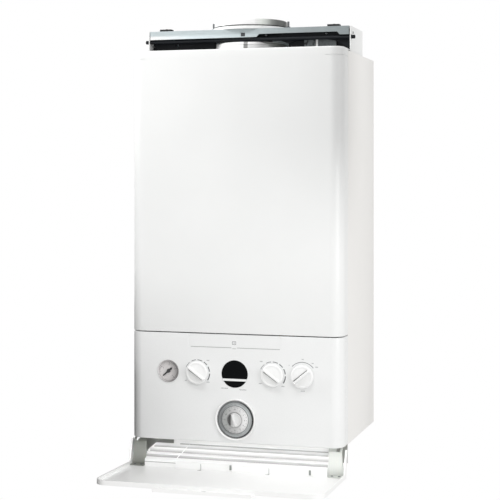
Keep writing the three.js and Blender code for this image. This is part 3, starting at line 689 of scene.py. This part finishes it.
def fascia():
    bm = bmesh.new()
    levels = []
    R = 2.6
    for k in range(6):
        t = math.pi / 2 * (1 - k / 5)
        levels.append((R - R * math.sin(t), R * (1 - math.cos(t))))
    levels += [(60, 0), (130, 0), (191.6, 0), (193.0, 0.12), (193.45, 0.5), (193.6, 1.3)]
    rings = [[P(x, y, z) for x, y in outline(inset, RETURN)] for z, inset in levels]
    rows = loft(bm, rings, closed=False)
    face(bm, rows[0][::-1])
    top = rows[-1]
    hem = [bm.verts.new(P(p[0], p[1], 193.6)) for p in outline(9, RETURN)]
    for i in range(len(top) - 1):
        face(bm, (top[i], top[i + 1], hem[i + 1], hem[i]))
    ob = finish_piece("fascia_moulding", bm, "white_plastic", "boiler", ["control_fascia"])
    s = ob.modifiers.new("sheet", "SOLIDIFY")
    s.thickness = 0.0024
    s.offset = -1
    s.use_even_offset = True
    apply_modifiers(ob)

    def holes(b):
        revolve(b, [(0, -12), (20.25, -12), (20.25, 2), (0, 2)], front_place(*GAUGE), 64)
        revolve(b, [(0, -12), (24.55, -12), (24.55, 2), (0, 2)], front_place(*WINDOW), 96)
        revolve(b, [(0, -12), (33.35, -12), (33.35, 2), (0, 2)], front_place(*TIMER), 96)
        for x, z in KNOBS.values():
            revolve(b, [(0, -12), (4, -12), (4, 2), (0, 2)], front_place(x, z), 32)
    subtract(ob, holes)
    # shallow seat for the flap's tab, with a thumb nick in its lower edge
    seat = rounded([(-86.5, 169.5), (-4.5, 169.5), (-3, 168), (3, 168), (4.5, 169.5), (86.5, 169.5), (86.5, 196), (-86.5, 196)],
                   [2.5, 1, 0.8, 0.8, 1, 2.5, 0, 0])
    subtract(ob, lambda b: loft(b, [[P(u, yd(-2), v) for u, v in seat], [P(u, yd(0.85), v) for u, v in seat]]))
    smooth_by_angle(ob, 30)
    return ob


def side_panel(side):
    bm = bmesh.new()
    section = [(HALF, yd(RETURN + 0.5)), (HALF, -1), (184, -1), (184, -2.2), (196.3, -2.2),
               (196.3, yd(RETURN + 1.7)), (184, yd(RETURN + 1.7)), (184, yd(RETURN + 0.5))]
    section = rounded(section, [1.1, 1.1, 0.2, 0.2, 0.3, 0.3, 0.2, 0.2], 3)
    section = [(side * x, y) for x, y in section]
    loft(bm, [[P(x, y, z) for x, y in section] for z in (0, 701)])
    tidy(bm)
    ends = [e for e in bm.edges if abs(e.verts[0].co.z - e.verts[1].co.z) < 1e-6 and e.calc_face_angle(0) > 1]
    bmesh.ops.bevel(bm, geom=ends, offset=0.0004, segments=2, profile=0.5, affect="EDGES", clamp_overlap=True)
    where = "right" if side > 0 else "left"
    return finish_piece(f"side_sheet_{where}", bm, "white_paint_side", "boiler", [f"side_panel_{where}"], 30)


front_casing()
fascia()
side_panel(1)
side_panel(-1)


# ------------------------------------------------------------------ knobs
def bar(bm, place, half, profile, along, ends=2.0, steps=4):
    """A straight grip; profile is (half width, height) from the base up, along turns it in the face plane."""
    ca, sa = math.cos(along), math.sin(along)
    section = [(w, h) for w, h in profile] + [(-w, h) for w, h in reversed(profile)]
    rings = []
    stations = [(-half + ends * (1 - math.cos(math.pi / 2 * k / steps)), math.sin(math.pi / 2 * k / steps)) for k in range(steps + 1)]
    stations += [(half - ends * (1 - math.cos(math.pi / 2 * k / steps)), math.sin(math.pi / 2 * k / steps)) for k in range(steps, -1, -1)]
    base = profile[0][1]
    for s, f in stations:
        f = 0.35 + 0.65 * f
        ring = []
        for w, h in section:
            u, v = s, w * f
            ring.append(place(u * ca - v * sa, u * sa + v * ca, base + (h - base) * f))
        rings.append(ring)
    loft(bm, rings)


def knob(name, body, slope):
    x, z = KNOBS[name]
    place = front_place(x, z)
    bm = bmesh.new()
    face_line = fillet([(3, 0.7), (20.1, 0.7), (20.7, 1.3), (20.4, 4.2), (18.9, 5.9), (16.4, 6.1), (15.8, 5.7), (9, 6.9), (0, 7.2)],
                       {2: 0.6, 3: 1.6, 4: 1.2, 5: 0.5, 6: 0.8, 7: 20})
    revolve(bm, [(0, -20), (2.6, -20), (3, -19.6)] + face_line, place, 112)
    bar(bm, place, 18.6, fillet([(2.9, 5.0), (2.35, 6.6), (1.75, 11.3), (1.0, 12.35), (0, 12.4)], {1: 1.5, 2: 1.0, 3: 0.6}), -math.radians(slope), 2.6)
    ob = finish_piece(name + "_moulding", bm, "knob_plastic", body, [name], 42)
    # a dark strip along the lower side of the grip bar: painted shadow of the bar on the knob's face
    bm = bmesh.new()
    a = -math.radians(slope)
    side = -1 if slope > 0 else 1
    foot = [(-16.4, side * 2.6), (15.8, side * 2.6), (15.2, side * 3.6), (-14.8, side * 4.3)]
    foot = [(u * math.cos(a) - v * math.sin(a), u * math.sin(a) + v * math.cos(a)) for u, v in foot]
    prism(bm, foot if side > 0 else foot[::-1], place, 5.6, 7.36)
    finish_piece(name + "_painted_bar_shadow", bm, "clip_grey_and_painted_shadow", body, deg=30)
    return ob


knob("hot_water_knob", "hot_water_control", 36)
knob("heating_knob", "heating_control", 36)
knob("mode_knob", "mode_control", -40)


# ------------------------------------------------------------------ timer
def lathe_piece(name, profile, centre, mat, body, nodes=(), segments=128, deg=38):
    bm = bmesh.new()
    revolve(bm, profile, front_place(*centre), segments)
    return finish_piece(name, bm, mat, body, nodes, deg)


lathe_piece("timer_rim", fillet([(33.7, 0.3), (37, 0.3), (37, 3.5), (36.6, 4.4), (36.0, 4.5), (34.1, 3.0), (33.7, 2.4), (33.7, 0.3)], {1: 0.2, 2: 0.5, 3: 0.4, 4: 0.5, 5: 0.6, 6: 0.4}, 5),
            TIMER, "flap_plastic", "boiler", ["timer_bezel"])
lathe_piece("timer_case", fillet([(0, -17), (31, -17), (31, -0.5), (33.2, -0.5), (33.2, 3.2), (32.7, 3.9), (31.9, 4.1), (31.5, 3.1), (30.9, 3.1), (30.6, 4.0),
                                  (29.6, 3.9), (27.4, 2.5), (26.2, 4.3), (25.1, 4.3), (24.9, 3.8), (24.9, 0.8), (3.2, 0.8), (3.2, 7.6), (2.7, 8.1), (0, 8.1)],
                                 {5: 0.4, 6: 0.3, 9: 0.3, 10: 0.8, 11: 1.2, 12: 0.5, 13: 0.3}, 3),
            TIMER, "timer_ring_painted_shade", "boiler", ["timer_body"])
# dark rings in the gaps between the timer's rings: painted shade
for r0, r1, top in ((30.95, 31.45, 3.3), (24.5, 24.86, 4.6), (33.22, 33.66, 2.6)):
    lathe_piece(f"timer_gap_painted_shade_{int(r0)}", [(r0, 0.9), (r1, 0.9), (r1, top), (r0, top), (r0, 0.9)], TIMER, "dark_plastic", "boiler")
lathe_piece("timer_dial_ring", fillet([(4, 1.4), (24.4, 1.4), (24.4, 4.4), (23.6, 5.2), (14.4, 6.4), (13.7, 6.1), (13.4, 5.2), (4, 5.2), (4, 1.4)],
                                      {2: 0.4, 3: 0.6, 4: 0.4, 5: 0.3}, 4),
            TIMER, "timer_face_painted_light", "clock_dial", ["timer_dial"])
bm = bmesh.new()
place = front_place(*TIMER)
revolve(bm, fillet([(3.6, 7), (11.6, 7), (12.2, 7.4), (12.5, 8.0), (12.3, 9.3), (11.6, 9.7), (11.0, 9.2), (10.6, 8.3), (5, 8.2), (0, 8.2)],
                   {2: 0.4, 3: 0.5, 4: 0.5, 5: 0.4, 6: 0.5, 7: 0.5}, 3), place, 96)
bar(bm, place, 11.4, fillet([(2.9, 7.9), (2.2, 9.4), (1.6, 12.9), (0.9, 13.75), (0, 13.8)], {1: 1.2, 2: 0.8, 3: 0.5}), math.radians(90 + 20), 2.2)
finish_piece("timer_switch_knob", bm, "timer_grip_painted_shade_and_highlight", "clock_knob", ["timer_knob"], 42)


# ------------------------------------------------------------------ gauge and display
lathe_piece("gauge_case", fillet([(0, -22), (19.6, -22), (19.6, -4), (20.05, -4), (20.05, 0.6), (19.7, 1.15), (18.7, 1.2), (18.25, 0.7), (18.2, -4.2), (0, -4.2)],
                                 {5: 0.3, 6: 0.3, 7: 0.3}, 4), GAUGE, "gauge_ring_painted_shade", "boiler", ["gauge_housing"], 112)
lathe_piece("gauge_scale_plate", fillet([(0, -3.9), (17.9, -3.9), (17.9, -3.3), (0, -3.3)], 0.1, 2), GAUGE, "gauge_card_painted_shade", "boiler", ["gauge_dial"], 96)
lathe_piece("gauge_glass", fillet([(0, -1.1), (17.9, -1.1), (17.9, -0.3), (17.0, 0.1), (0, 0.2)], {2: 0.3, 3: 0.8}, 4), GAUGE, "lens_clear", "boiler", ["gauge_lens"], 96)
bm = bmesh.new()
place = front_place(*GAUGE)
revolve(bm, fillet([(0, -3.0), (3.5, -3.0), (3.5, -1.9), (3.0, -1.55), (0, -1.5)], {2: 0.4, 3: 0.4}, 3), place, 40)
ca, sa = math.cos(math.radians(221)), math.sin(math.radians(221))
blade = [(-8.7, -0.9), (-6.4, -1.75), (-3.4, -1.9), (3, -1.7), (13.2, -0.95), (14.2, 0), (13.2, 0.95), (3, 1.7), (-3.4, 1.9), (-6.4, 1.75), (-8.7, 0.9), (-9.0, 0)]
prism(bm, [(u * ca - v * sa, u * sa + v * ca) for u, v in blade], place, -2.5, -1.95)
finish_piece("gauge_pointer", bm, "needle_black", "needle", ["gauge_needle"], 30)

lathe_piece("display_lens", fillet([(0, -4), (24.3, -4), (24.3, 0.05), (23.9, 0.45), (20, 0.5), (0, 0.5)], {2: 0.3, 3: 0.4, 4: 3}, 4), WINDOW, "black_plastic", "boiler", ["display_window"])
bm = bmesh.new()
y0, y1 = 111.0 - WINDOW[1], 115.0 - WINDOW[1]
prism(bm, rounded([(-21.6, y0), (21.6, y0), (22.9, y1), (-22.9, y1)], 0.5, 3), front_place(*WINDOW), 0.5, 1.25)
ob = finish_piece("display_bar", bm, "white_plastic", "boiler", ["display_divider"], 30)


# ------------------------------------------------------------------ printed and moulded marks
def sector(bm, place, r, width, a0, a1, h0=-0.02, h1=0.07, n=10):
    a0, a1 = math.radians(a0), math.radians(a1)
    pts = [((r + width / 2) * math.cos(a0 + (a1 - a0) * i / n), (r + width / 2) * math.sin(a0 + (a1 - a0) * i / n)) for i in range(n + 1)]
    pts += [((r - width / 2) * math.cos(a1 + (a0 - a1) * i / n), (r - width / 2) * math.sin(a1 + (a0 - a1) * i / n)) for i in range(n + 1)]
    prism(bm, pts, place, h0, h1)


def dab(bm, place, x, z, w, h, h0=-0.02, h1=0.07, r=None):
    r = min(w, h) * 0.35 if r is None else r
    prism(bm, rounded(rect(x - w / 2, x + w / 2, z - h / 2, z + h / 2), r, 3), place, h0, h1)


def digits(bm, text, x, z, size, place, h0, h1):
    """Generic numerals from Blender's own font, as solid strokes."""
    cu = bpy.data.curves.new("digits", "FONT")
    cu.body = text
    cu.size = size
    cu.align_x, cu.align_y = "CENTER", "CENTER"
    cu.resolution_u = 3
    ob = bpy.data.objects.new("digits", cu)
    bpy.context.scene.collection.objects.link(ob)
    bpy.context.view_layer.update()
    me = ob.to_mesh()
    verts = [tuple(v.co) for v in me.vertices]
    polys = [tuple(p.vertices) for p in me.polygons]
    ob.to_mesh_clear()
    bpy.data.objects.remove(ob)
    bpy.data.curves.remove(cu)
    low = [bm.verts.new(place(x + v[0], z + v[1], h0)) for v in verts]
    high = [bm.verts.new(place(x + v[0], z + v[1], h1)) for v in verts]
    edges = {}
    for p in polys:
        face(bm, [high[i] for i in p])
        face(bm, [low[i] for i in reversed(p)])
        for i in range(len(p)):
            e = (p[i], p[(i + 1) % len(p)])
            edges[e] = edges.get(e, 0) + 1
    for (i, j) in edges:
        if (j, i) not in edges:
            face(bm, (high[j], high[i], low[i], low[j]))


bm = bmesh.new()
for name, r in (("hot_water_knob", 23.3), ("heating_knob", 23.8)):
    place = front_place(*KNOBS[name])
    for a0, a1, w in ((155, 129, 0.7), (118, 96, 1.0), (89, 66, 1.2), (58, 38, 1.4), (30, 7, 1.6), (-2, -33, 1.8)):
        sector(bm, place, r, w, a0, a1)
sector(bm, front_place(*KNOBS["mode_knob"]), 25.3, 0.9, 137, 38, n=30)
finish_piece("printed_scales", bm, "print_grey", "boiler", deg=30)

bm = bmesh.new()
whole = front_place(0, 0)
for name, spots in (("hot_water_knob", ((-22.1, -14.5, 2), (20.4, -16.0, 3), (20.4, 23.0, 3))),
                    ("heating_knob", ((-20.7, 24.1, 3), (-22.5, -15.6, 3), (19.4, -18.6, 3))),
                    ("mode_knob", ((-24.2, 19.1, 1), (0.5, 30.4, 2), (18.6, 24.1, 2), (25.8, 17.7, 3), (0.5, -25.4, 4)))):
    kx, kz = KNOBS[name]
    for x, z, n in spots:
        for i in range(n):
            dab(bm, whole, kx + x + (i - (n - 1) / 2) * 1.9, kz + z, 1.2, 1.7 if i % 2 else 1.3)
for cx, cz in ((WINDOW[0] - 19.0, WINDOW[1] - 26.0), (WINDOW[0] + 15.5, WINDOW[1] - 27.6)):
    for i in range(7):
        dab(bm, whole, cx + (i - 3) * 1.9, cz, 1.25, 1.3 + 0.5 * (i % 3 == 1))
finish_piece("printed_points", bm, "print_light", "boiler", deg=30)

bm = bmesh.new()
for x, z, w, h in ((-3.4, 178.5, 0.7, 5.0), (3.0, 178.5, 0.7, 5.0), (-0.2, 181.2, 7.0, 0.7), (-0.2, 175.9, 7.0, 0.7), (-0.2, 178.5, 0.8, 2.6)):
    dab(bm, front_place(0, 0), x, z, w, h, -0.87, -0.72)
finish_piece("seat_mark", bm, "print_light", "boiler", deg=30)

# painted shade line in the seat's lower edge and its ends
bm = bmesh.new()
for x0, x1, z0, z1 in ((-82.0, -5.2, 169.6, 170.6), (5.2, 84.5, 169.6, 170.5), (-4.6, 4.6, 168.0, 168.9)):
    prism(bm, rect(x0, x1, z0, z1), front_place(0, 0), -0.9, -0.5)
finish_piece("seat_shade", bm, "seat_painted_shade", "boiler", deg=30)

bm = bmesh.new()
place = front_place(*GAUGE)
for i in range(41):
    a = 221 - 270 * i / 40
    long = i % 10 == 0
    r0, r1, w = (13.6, 16.6, 0.34) if long else ((14.9, 16.6, 0.26) if i % 5 == 0 else (15.6, 16.6, 0.16))
    c, sn = math.cos(math.radians(a)), math.sin(math.radians(a))
    prism(bm, [(r0 * c - w * sn, r0 * sn + w * c), (r1 * c - w * sn, r1 * sn + w * c), (r1 * c + w * sn, r1 * sn - w * c), (r0 * c + w * sn, r0 * sn - w * c)], place, -3.32, -3.2)
for i in range(5):
    a = math.radians(221 - 270 * i / 4)
    digits(bm, str(i), 11.2 * math.cos(a), 11.2 * math.sin(a), 4.0, place, -3.32, -3.2)
finish_piece("gauge_numbers", bm, "print_grey", "boiler", deg=30)

bm = bmesh.new()
place = front_place(*TIMER)


def dial_height(r):
    return 5.2 + (23.6 - r) / (23.6 - 14.4) * 1.2


for i in range(96):
    a = math.radians(360 * i / 96)
    r0, r1, w = (20.6, 23.2, 0.16) if i % 4 == 0 else (22.0, 23.2, 0.09)
    c, sn = math.cos(a), math.sin(a)
    corners = [(r0, -w), (r1, -w), (r1, w), (r0, w)]
    rings = [[place(r * c - v * sn, r * sn + v * c, dial_height(r) + dh) for r, v in corners] for dh in (-0.05, 0.08)]
    loft(bm, rings)
for i in range(12):
    a = math.radians(90 - 30 * i)
    r = 18.3
    digits(bm, str(2 * i or 24), r * math.cos(a), r * math.sin(a), 3.1, place, dial_height(r) - 0.3, dial_height(r) + 0.12)
finish_piece("timer_numbers", bm, "print_grey", "clock_dial", deg=30)


# ------------------------------------------------------------------ flue parts
def upright(name, profile, centre, mat, nodes, segments=160, deg=38):
    b = bmesh.new()
    revolve(b, profile, up_place(*centre), segments)
    return finish_piece(name, b, mat, "boiler", nodes, deg)


turret = upright("turret_sleeve", fillet([(62.5, 756.7), (68.3, 756.7), (68.5, 757.0), (68.5, 766.4), (67.7, 767.7), (66.4, 768), (63.0, 768), (62.5, 767.5), (62.5, 764), (64, 763.4), (64, 760),
                                          (62.5, 759.4), (62.5, 756.7)], {3: 0.9, 4: 0.7, 5: 0.6, 6: 0.4, 9: 0.3, 10: 0.3}, 3), FLUE, "turret_painted_shade", ["flue_turret"])
subtract(turret, lambda b: loft(b, [[P(x, y, z) for x, y in rect(FLUE[0] + 26.1, FLUE[0] + 26.9, FLUE[1] - 70, FLUE[1] - 62.6)] for z in (756, 769)]))
smooth_by_angle(turret, 30)
upright("turret_seal", [(62, 754.9), (69.5, 754.9), (69.6, 755.6), (69.3, 756.4), (62, 756.4), (62, 754.9)], FLUE, "rubber_black", ["turret_gasket"])
upright("flue_spigot", fillet([(39.6, 655), (42, 655), (42, 762.2), (41.6, 763), (40.0, 763), (39.6, 762.2), (39.6, 655)], {2: 0.3, 3: 0.4, 4: 0.4}, 3), FLUE, "aluminium", ["flue_inner_spigot"], 128)
upright("collar_drum", fillet([(43, 723), (65.2, 723), (68, 720.2), (68, 636), (70, 636), (70, 703.6), (69.3, 704.2), (69.3, 706.2), (70, 706.8), (70, 717.8), (69.2, 718.3), (69.2, 719.5), (70, 720),
                               (70, 721.2), (68.6, 724), (66, 725), (43, 725), (43, 723)],
                              {2: 1.5, 13: 0.8, 14: 2.0, 15: 1.4}, 4), FLUE, "collar_painted_light_and_shade", ["exhaust_collar"])
bm = bmesh.new()
revolve(bm, fillet([(0, -201.5), (3.5, -201.5), (3.5, 201.5), (0, 201.5)], {1: 3.2, 2: 3.2}, 6), lambda u, v, h: P(h, yd(90) + u, 729.3 + v), 32)
finish_piece("hanger_rod", bm, "black_paint", "boiler", ["casing_hanger_rod"])


# ------------------------------------------------------------------ small details
def screw(name, x, y, z, axis, r, mat="fastener_steel", body="boiler", h=1.1):
    """Pan head seated on the face whose outward direction is axis; its cross recess is drawn as a dark cross of
    painted shade, not cut.
    """
    a = Vector(axis).normalized()
    u = a.orthogonal().normalized()
    v = a.cross(u)

    def place(p, q, t):
        d = (u * p + v * q + a * t) * 0.001
        return P(x, y, z) + d
    b = bmesh.new()
    revolve(b, fillet([(0, -0.4), (r, -0.4), (r, 0.15), (r * 0.75, h * 0.85), (0, h)], {2: 0.2, 3: r * 0.5}, 4), place, 28)
    o = finish_piece(name, b, mat, body, deg=30)

    # dark cross standing in for the cross recess: painted shade
    b2 = bmesh.new()
    for p, q in ((r * 0.62, r * 0.14), (r * 0.14, r * 0.62)):
        loft(b2, [[place(s, t, k) for s, t in rect(-p, p, -q, q)] for k in (h * 0.90, h * 0.97)])
    finish_piece(name + "_recess_painted_shade", b2, "dark_plastic", body, deg=30)
    return o


for side, where in ((-1, "left"), (1, "right")):
    screw(f"pad_screw_{where}", side * 161.5, yd(93.5), 752.9, (0, 0, 1), 2.6)
    screw(f"post_screw_{where}", side * 194.2, yd(104), 738, (side, 0, 0), 2.6)
    for k, dx in enumerate((-27, 27)):
        screw(f"baffle_screw_{where}_{k}", side * 120 + dx - (60 if side > 0 and k == 0 else 0), yd(102) if side < 0 else yd(93.8), 738.5 if side < 0 else 737, (0, -1, 0), 2.2)

# spring clip in the rail's square hole
bm = bmesh.new()
for w in ((-12.4, -9.5), (-8.5, -5.6)):
    prism(bm, rounded(rect(w[0], w[1], 735.8, 741.4), 0.6, 3), lambda u, v, h: P(u, yd(84 - h), v), -1.2, 0.5)
prism(bm, rounded(rect(-12.4, -5.6, 737.6, 739.4), 0.4, 3), lambda u, v, h: P(u, yd(84 - h), v), -1.2, 0.25)
finish_piece("rail_clip", bm, "dark_plastic", "boiler", deg=30)

# pale cable clip in the bracket's slot
bm = bmesh.new()
prism(bm, rounded(rect(126.6, 130.6, 700, 728), 1.0, 3), lambda u, v, h: P(u, yd(97.4 - h), v), -1.6, 0.4)
finish_piece("harness_clip", bm, "white_plastic", "boiler", deg=30)


# ------------------------------------------------------------------ flap details
def flap_place():
    rot = Matrix.Rotation(-TILT, 3, "X")

    def at(x, a, b):
        v = rot @ Vector((0, -a, -b))
        return P(x, HINGE[0] + v.y, HINGE[1] + v.z)
    return at


at = flap_place()


def strip(bm, x0, x1, section):
    """A bar along X whose section is a list of (a, b) points."""
    loft(bm, [[at(x, a, b) for a, b in section] for x in (x0, x1)])


# painted shade on the faces of the lip's steps, with the short line at its left end
bm = bmesh.new()
strip(bm, -110.0, LIP - 0.3, [(-3.6, -1.4), (-3.05, -1.5), (-2.18, 0.4), (-2.8, 0.6)])
strip(bm, -158.0, LIP - 0.3, [(0.03, 3.2), (0.48, 2.75), (3.64, 5.75), (3.19, 6.2)])
strip(bm, -165.5, LIP - 0.3, [(3.3, 7.2), (3.92, 7.2), (4.44, 14.7), (3.8, 14.8)])
strip(bm, -LIP + 0.3, LIP - 0.3, [(10.3, 18.0), (10.9, 18.0), (11.32, 22.9), (10.7, 23.0)])
strip(bm, -LIP + 0.3, -110.0, [(19.1, 30.0), (19.8, 30.0), (19.86, 31.2), (19.2, 31.2)])
finish_piece("lip_painted_shade_bands", bm, "lip_painted_shade", "flap", deg=30)

# slanted rib across the steps, left of the middle
bm = bmesh.new()
path_ab = [(-2.3, -0.2), (0.8, 2.7), (3.75, 5.6), (4.35, 10.5), (4.75, 14.4), (7.6, 15.9), (10.9, 17.1), (11.5, 20.0), (11.8, 23.0), (15.6, 24.6), (19.6, 25.8)]
along = [0.0]
for (a0, b0), (a1, b1) in zip(path_ab, path_ab[1:]):
    along.append(along[-1] + b1 - b0)
rings = []
for (a, b), t in zip(path_ab, along):
    x = -91.5 - 21.5 * t / along[-1]
    rings.append([at(x + dx, a + da, b - da * 0.3) for dx, da in ((-0.9, -0.7), (0.9, -0.7), (0.7, 0.75), (-0.7, 0.75))])
loft(bm, rings)
finish_piece("lip_rib", bm, "flap_plastic", "flap", deg=30)

# two release tabs and their arrow marks on the clip strip
bm = bmesh.new()
for x in (-61.0, 66.0):
    strip(bm, x - 0.35, x + 0.35, [(24.3, PLATE - 10.6), (24.75, PLATE - 10.6), (24.75, PLATE - 0.3), (24.3, PLATE - 0.3)])
for x in (-63.0, 64.0):
    rows = [[at(px, pa, PLATE + dh) for px, pa in ((x - 3.2, 29.5), (x + 3.2, 24.9), (x + 3.0, 29.5))] for dh in (0.02, -0.35)]
    loft(bm, rows)
for x in (-4.0, 141.5):
    strip(bm, x - 1.9, x + 1.9, rounded([(27.8, PLATE - 12.6), (28.8, PLATE - 12.2), (28.6, PLATE - 4.0), (27.8, PLATE - 3.4)], 0.3, 3))
finish_piece("clip_marks", bm, "clip_grey_and_painted_shadow", "flap", deg=30)

bm = bmesh.new()
for x, a, w, h in ((-3.2, EDGE + 10, 0.6, 6.5), (3.2, EDGE + 10, 0.6, 6.5), (0, EDGE + 7, 6.6, 0.8), (0, EDGE + 13, 6.6, 0.8), (0, EDGE + 10, 0.7, 3.0)):
    rows = [[at(x + dx, a + da, PLATE + dh) for dx, da in rect(-w / 2, w / 2, -h / 2, h / 2)] for dh in (0.02, -0.12)]
    loft(bm, rows)
finish_piece("tab_mark", bm, "print_light", "flap", deg=30)

for side, where in ((-1, "left"), (1, "right")):
    for k, x in enumerate((178.0, 191.0)):
        c = at(side * x, 15.5, PLATE - 1.9)
        b = bmesh.new()
        revolve(b, fillet([(0, -0.3), (2.6, -0.3), (2.6, 0.2), (1.9, 1.1), (0, 1.3)], {2: 0.2, 3: 1.0}, 3),
                lambda p, q, t, c=c: c + Vector((p, -q, t)) * 0.001, 28)
        finish_piece(f"arm_screw_{where}_{k}", b, "fastener_steel", "flap", deg=30)
